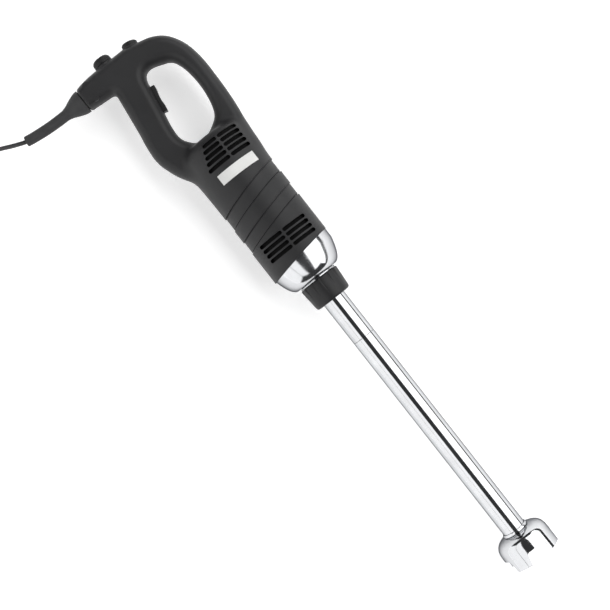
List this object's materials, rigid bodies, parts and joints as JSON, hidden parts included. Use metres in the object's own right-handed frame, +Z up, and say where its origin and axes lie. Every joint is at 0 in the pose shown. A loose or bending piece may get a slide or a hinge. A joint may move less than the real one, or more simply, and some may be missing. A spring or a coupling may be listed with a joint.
{
  "type": "immersion blender",
  "caption": "Heavy-duty hand-held immersion blender with a looped black handle, a chrome coupling bowl, a long chrome foot and a notched bell, lying on its side with its cord coiled.",
  "frame": {"origin": "middle of the underside of the blender without its cord, on the surface that it lies on", "axes": "+X along the drive axis from the bell towards the handle, +Y towards the side that the cord leaves, +Z up, square to the handle's flat plane"},
  "size_m": [0.8233, 0.4034, 0.0896],
  "materials": {
    "housing": "satin black moulded plastic",
    "controls": "fine-grained black plastic",
    "collar": "satin dark grey plastic",
    "boot": "matt dark grey rubber",
    "cord": "black flexible cord sheath",
    "chrome": "mirror-polished stainless steel",
    "steel": "machined steel",
    "laminations": "stacked steel sheets",
    "copper": "varnished copper wire",
    "carbon": "pressed carbon",
    "brass": "bright brass",
    "board": "coated circuit board",
    "moulded": "off-white moulded plastic",
    "badge": "printed light plate"
  },
  "bodies": {
    "housing": {"housing_front": "housing", "housing_rear": "housing", "cord_boot": "boot", "cord_tie": "boot", "inner_lead": "cord", "cord_run": "cord", "cord_tail": "cord", "cord_coil": "cord", "plug_body": "cord", "coupling_bowl": "chrome", "housing_screw_1": "steel", "housing_screw_2": "steel", "housing_screw_3": "steel", "housing_screw_4": "steel", "housing_screw_5": "steel", "housing_screw_6": "steel", "trigger_spring": "steel", "lock_spring": "steel", "upper_bearing": "steel", "lower_bearing": "steel", "stator_core": "laminations", "field_coil_1": "copper", "field_coil_2": "copper", "carbon_brush_1": "carbon", "carbon_brush_2": "carbon", "brush_holder_1": "brass", "brush_holder_2": "brass", "plug_pin_1": "brass", "plug_pin_2": "brass", "control_board": "board", "trigger_switch": "moulded", "lock_switch": "moulded", "potentiometer": "moulded", "upper_bracket": "moulded", "lower_bracket": "moulded", "cord_clamp": "moulded", "badge": "badge"},
    "armature": {"armature_core": "laminations", "winding_lower": "copper", "winding_upper": "copper", "motor_shaft": "steel", "commutator": "copper", "fan": "moulded", "upper_dog": "steel"},
    "foot": {"foot_ferrule": "chrome", "foot_tube": "chrome", "weld_ring": "chrome", "bell_guard": "chrome", "upper_bush": "brass", "middle_bush": "brass", "lower_bush": "brass", "shaft_seal": "boot"},
    "collar": {"lock_collar": "collar"},
    "blade_shaft": {"drive_shaft": "steel", "lower_dog": "steel", "blade": "steel", "blade_nut": "steel"},
    "trigger": {"trigger": "controls"},
    "lock_button": {"lock_button": "controls"},
    "speed_knob": {"speed_knob": "controls"}
  },
  "joints": [
    {"name": "armature_spin", "type": "hinge", "parent": "housing", "child": "armature", "pos_m": [0.127, -0.06015, 0.0444], "axis": [1, 0, 0], "continuous": true},
    {"name": "foot_release", "type": "slide", "parent": "housing", "child": "foot", "axis": [-1, 0, 0], "range_m": [0, 0.06]},
    {"name": "collar_turn", "type": "hinge", "parent": "foot", "child": "collar", "pos_m": [0.011, -0.06015, 0.0444], "axis": [1, 0, 0], "range_deg": [0, 60]},
    {"name": "blade_spin", "type": "hinge", "parent": "foot", "child": "blade_shaft", "pos_m": [-0.208, -0.06015, 0.0444], "axis": [1, 0, 0], "continuous": true},
    {"name": "trigger_press", "type": "slide", "parent": "housing", "child": "trigger", "axis": [0.1699, 0.9855, 0], "range_m": [0, 0.004], "stiffness_N_per_m": 600, "springref_m": -0.003, "deforming": ["trigger_spring"]},
    {"name": "lock_press", "type": "slide", "parent": "housing", "child": "lock_button", "axis": [-0.9795, 0.2016, 0], "range_m": [0, 0.0035], "stiffness_N_per_m": 600, "springref_m": -0.003, "deforming": ["lock_spring"]},
    {"name": "speed_turn", "type": "hinge", "parent": "housing", "child": "speed_knob", "pos_m": [0.387, -0.01575, 0.0444], "axis": [1, 0, 0], "range_deg": [0, 270]}
  ],
  "couplings": [
    {"joint": "blade_spin", "follows": "armature_spin", "ratio": 1}
  ]
}
